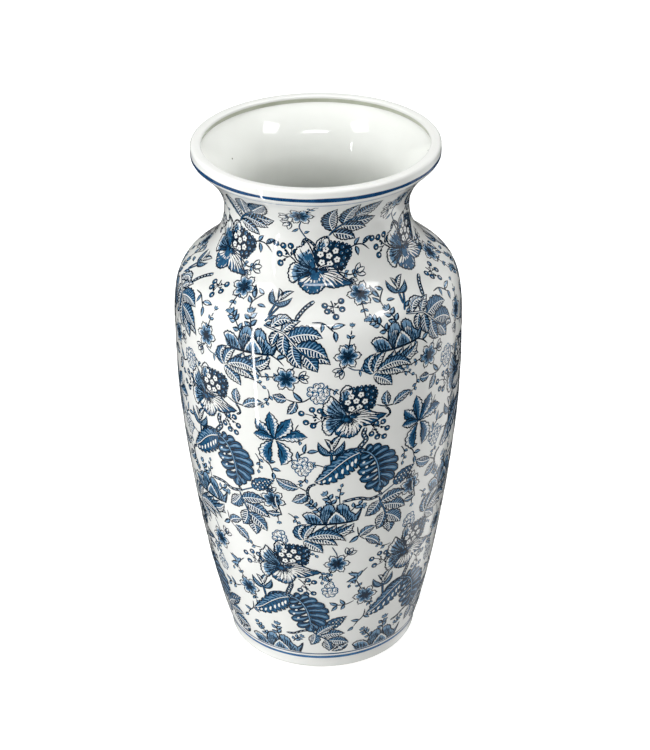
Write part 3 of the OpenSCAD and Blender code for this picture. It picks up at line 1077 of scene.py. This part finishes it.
def glossy_coat(name, low, high, edge=0.3, lump=14.0):
    """Fired glaze: a colour that drifts between two, a wet gloss and a faint ripple."""
    paint = Paint(name)
    tree = paint.material.node_tree
    colour = ramp(tree, paint.noise(lump), [(edge, linear(*low)), (1 - edge, linear(*high))])
    gloss = ramp(tree, paint.noise(GLOSS_LUMPS), [(0.3, grey(0.03)), (0.7, grey(0.07))])
    paint.link(colour, paint.inputs["Base Color"])
    paint.link(gloss, paint.inputs["Roughness"])
    paint.bump(paint.noise(RIPPLE_LUMPS, 2.0, 0.4), GLAZE_RIPPLE, GLAZE_RIPPLE_DEPTH)
    return paint.material


def bare_clay():
    """Fired clay without glaze: warm, dry and finely grained."""
    paint = Paint("bare_clay")
    stops = [(0.3, linear(206, 196, 178)), (0.6, linear(222, 214, 198)),
             (0.8, linear(188, 174, 150))]
    colour = ramp(paint.material.node_tree, paint.noise(CLAY_LUMPS, 8.0), stops)
    paint.link(colour, paint.inputs["Base Color"])
    paint.inputs["Roughness"].default_value = CLAY_ROUGHNESS
    paint.bump(paint.noise(GRAIN_LUMPS, 6.0), CLAY_GRAIN, CLAY_GRAIN_DEPTH)
    return paint.material


white_glaze = glossy_coat("white_glaze", (232, 233, 229), (238, 239, 236), edge=0.25)
# The glaze inside is the same white glaze painted a little lighter: painted light that brightens
# the inside of the mouth.
inner_glaze = glossy_coat("inner_glaze", (240, 242, 237), (245, 247, 243), edge=0.25)
inks = {
    WHITE: glossy_coat("print_white", (232, 233, 230), (238, 239, 236), edge=0.25),
    PALE: glossy_coat("print_pale", (92, 134, 168), (134, 168, 196), edge=0.35, lump=INK_LUMPS),
    MID: glossy_coat("print_mid", (14, 64, 100), (42, 98, 136), edge=0.35, lump=INK_LUMPS),
    NAVY: glossy_coat("print_navy", (2, 20, 36), (8, 42, 66), edge=0.35, lump=INK_LUMPS),
}
cobalt = glossy_coat("cobalt_line", (8, 52, 92), (26, 76, 122), lump=LINE_LUMPS)
foot_blue = glossy_coat("foot_line", (26, 84, 134), (48, 108, 160), lump=LINE_LUMPS)
pale_line = glossy_coat("pale_line", (110, 138, 170), (150, 172, 196), lump=LINE_LUMPS)
pooled_glaze = glossy_coat("pooled_glaze", (184, 188, 168), (200, 204, 186), lump=60.0)
speck_black = glossy_coat("kiln_speck", (40, 40, 38), (70, 66, 58), lump=900.0)
clay = bare_clay()

CLAY_NODES = ("foot_ring", "base_floor", "foot_wall", "lower_belly", "upper_belly", "shoulder",
              "neck", "rolled_lip")
coats = dict.fromkeys(CLAY_NODES, clay) | {"base_glaze": white_glaze}
for node, material in coats.items():
    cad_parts[node].data.materials.clear()
    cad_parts[node].data.materials.append(material)

# ---------------- the vase

outside = shell(list(PATH), list(PATH - PATH_OUT * GLAZE))
inside = shell([GROOVE] + inside_line(0), inside_line(GLAZE))
for node, outline, material in (("outer_glaze", outside, white_glaze),
                                ("inner_glaze", inside, inner_glaze)):
    skin = turned_piece(f"{node}_skin", outline, material)
    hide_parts(node)

pool = turned_piece("pooled_glaze", pooled_outline(), pooled_glaze)

for node, low, high, ink, slot_name, sway, breaks in (
        ("foot_band", 11.7, 14.7, foot_blue, "cobalt_line", 0.1, 0.06),
        ("foot_pinstripe", 16.9, 18.1, cobalt, "cobalt_line", 0.08, 0.2),
        ("rim_band", 447.7, 450.5, cobalt, "cobalt_line", 0.1, 0.16),
        ("neck_pinstripe", 443.0, 443.6, pale_line, "pale_line", 0.1, 0.3)):
    ring = line_ring(f"{node}_ink", up_at(low), up_at(high), ink, sway, breaks)
    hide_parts(node)

for node, draw_rows in (("body_print", (belly_poppies, belly_leaves, belly_peonies, lower_row)),
                        ("neck_print", (shoulder_row, neck_row))):
    sheet = Sheet(up_at(PRINT_LOW), up_at(PRINT_HIGH))
    for draw_row in draw_rows:
        draw_row(sheet.at)
    print_pieces(sheet, node, inks)

kiln_specks([(-113, 429, 0.7), (87, 448, 0.6)], speck_black)

# ---------------- floor and lights


def softbox(name, centre, aim, width, height, power, mirrored):
    """An area light that faces a point; one that isn't mirrored makes no highlight."""
    light = bpy.data.lights.new(name, "AREA")
    light.shape = "RECTANGLE"
    light.size = width
    light.size_y = height
    light.energy = power
    lamp = placed(name, light)
    lamp.location = centre
    direction = Vector(aim) - Vector(centre)
    lamp.rotation_euler = direction.to_track_quat("-Z", "Y").to_euler()
    lamp.visible_camera = False
    lamp.visible_glossy = mirrored


STAGE_REACH = 9.0
STAGE_SIDES = 96
DOME_ROWS = 24


def stage_piece(name, mesh, rises, glow, colour):
    """Part of the set that the camera sees, but that gives the vase no light or shade.

    Its glow changes with height where it rises, or else with nearness to the vase; on the floor
    that glow is painted light, dimmer near the vase and brighter far from it.
    """
    paint = Paint(name)
    tree = paint.material.node_tree
    where = paint.nodes.new("ShaderNodeTexCoord")
    shrink = paint.nodes.new("ShaderNodeMapping")
    shrink.inputs["Scale"].default_value = (1 / STAGE_REACH,) * 3
    paint.link(where.outputs["Object"], shrink.inputs["Vector"])
    pick = paint.nodes.new("ShaderNodeSeparateXYZ" if rises else "ShaderNodeTexGradient")
    if not rises:
        pick.gradient_type = "SPHERICAL"
    paint.link(shrink.outputs["Vector"], pick.inputs["Vector"])
    share = pick.outputs["Z" if rises else "Fac"]
    paint.link(ramp(tree, share, glow), paint.inputs["Emission Color"])
    paint.link(ramp(tree, paint.noise(3.0), colour), paint.inputs["Base Color"])
    paint.inputs["Roughness"].default_value = STAGE_ROUGHNESS
    paint.inputs["Emission Strength"].default_value = 1.0
    mesh.materials.append(paint.material)
    piece = placed(name, mesh)
    piece.visible_glossy = False
    piece.visible_diffuse = False
    piece.visible_shadow = False


def floor_and_backdrop():
    """A plain pale floor that takes the vase's soft shadow and glows with painted light, and a pale
    dome far behind it.
    """
    rim = [toward(360 * i / STAGE_SIDES, STAGE_REACH) for i in range(STAGE_SIDES)]
    floor = bpy.data.meshes.new("floor")
    floor.from_pydata([(p.real, p.imag, 0) for p in rim], [], [range(STAGE_SIDES)])
    # The floor's glow is painted light: 0.45 close to the vase, rising to 0.98 far from it.
    stage_piece("floor", floor, False, [(0.6, grey(0.98)), (0.85, grey(0.45))],
                [(0.3, grey(0.9)), (0.7, grey(0.93))])
    levels = [toward(90 * k / DOME_ROWS, 1) for k in range(DOME_ROWS)]
    places = [(p.real * level.real, p.imag * level.real, STAGE_REACH * level.imag)
              for level in levels for p in rim]
    crown = range((DOME_ROWS - 1) * STAGE_SIDES, DOME_ROWS * STAGE_SIDES)
    dome_faces = [(a, d, c, b) for a, b, c, d in ring_faces(DOME_ROWS, STAGE_SIDES)]
    dome = bpy.data.meshes.new("backdrop")
    dome.from_pydata(places, [], dome_faces + [crown])
    stage_piece("backdrop", dome, True, [(0.0, grey(1.0)), (0.25, grey(0.85))],
                [(0.3, grey(0.02)), (0.7, grey(0.03))])


def studio_air():
    """Soft light from all round, dimmer below the horizon than above it."""
    world = bpy.data.worlds.new("studio")
    world.use_nodes = True
    tree = world.node_tree
    where = tree.nodes.new("ShaderNodeTexCoord")
    split = tree.nodes.new("ShaderNodeSeparateXYZ")
    tree.links.new(where.outputs["Generated"], split.inputs["Vector"])
    stops = [(0.0, grey(0.12)), (0.12, grey(0.34)), (1.0, grey(0.5))]
    air = tree.nodes["Background"].inputs
    tree.links.new(ramp(tree, split.outputs["Z"], stops), air["Color"])
    air["Strength"].default_value = 0.5
    bpy.context.scene.world = world


floor_and_backdrop()
studio_air()
# Name, centre, the point it faces, width, height, power and whether it makes a highlight.
for lamp_facts in (
        ("top", (0.0, 0.75, 2.4), (0, 0.75, 0), 3.2, 3.0, 30, True),
        ("mouth", (0.0, 0.1, 1.7), (0, 0, 0.4), 0.5, 0.5, 3, False),
        ("key", (-1.7, -2.1, 0.5), (0, 0, 0.2), 1.2, 1.0, 14, False),
        ("fill", (0.5, -2.6, 0.3), (0, 0, 0.15), 2.4, 1.6, 14, False),
        ("bounce", (0.0, -0.2, -1.4), (0, 0, 0), 4.0, 4.0, 16, False),
        ("low_sheen", (0.3, 0.1, -1.4), (0.3, 0.1, 0), 3.6, 3.0, 6, True),
        ("low_sheen_near", (0.5, 0.1, -1.3), (0.5, 0.1, 0), 2.8, 2.3, 5, True),
        ("left", (-1.95, -0.35, -0.2), (0, 0, -0.2), 1.9, 3.6, 9, False),
        ("left_sheen", (-1.90, -0.34, -0.2), (0, 0, -0.2), 1.9, 3.6, 12, True),
        ("left_strip", (-0.80, -0.70, 0.28), (0, 0, 0.28), 0.035, 1.3, 4, True),
        ("right", (1.7, 0.7, -0.2), (0, 0, -0.2), 1.3, 3.0, 10, False),
        ("right_sheen", (1.65, 0.68, -0.2), (0, 0, -0.2), 1.3, 3.0, 9, True),
        ("left_high", (-1.15, -0.55, 1.75), (0, 0, 0.45), 0.5, 0.4, 6, True),
        ("right_high", (1.15, -0.55, 1.75), (0, 0, 0.45), 0.5, 0.4, 5, True),
        ("front_high", (0.0, -1.6, 1.95), (0, 0, 0.45), 1.0, 0.14, 5, True)):
    softbox(*lamp_facts)

# ---------------- the camera

CAMERA_PLACE = (0, -1.4230, 1.0631)
SENSOR = 36
LENS = 109.0
PITCH, YAW, ROLL = 0.5221, 0.0033, -0.0140


def aim_camera():
    """The camera stands in front and above, and looks down at the vase."""
    camera = bpy.data.cameras.new("camera")
    camera.sensor_fit = "HORIZONTAL"
    camera.sensor_width = SENSOR
    camera.lens = LENS
    eye = placed("camera", camera)
    flat = math.cos(PITCH)
    forward = Vector((math.sin(YAW) * flat, math.cos(YAW) * flat, -math.sin(PITCH)))
    level = Vector((math.cos(YAW), -math.sin(YAW), 0))
    upright = level.cross(forward)
    right = math.cos(ROLL) * level + math.sin(ROLL) * upright
    above = right.cross(forward)
    turn = Matrix((right, above, -forward)).transposed()
    eye.matrix_world = Matrix.Translation(CAMERA_PLACE) @ turn.to_4x4()
    bpy.context.scene.camera = eye


aim_camera()
bpy.context.scene.view_settings.view_transform = "Standard"
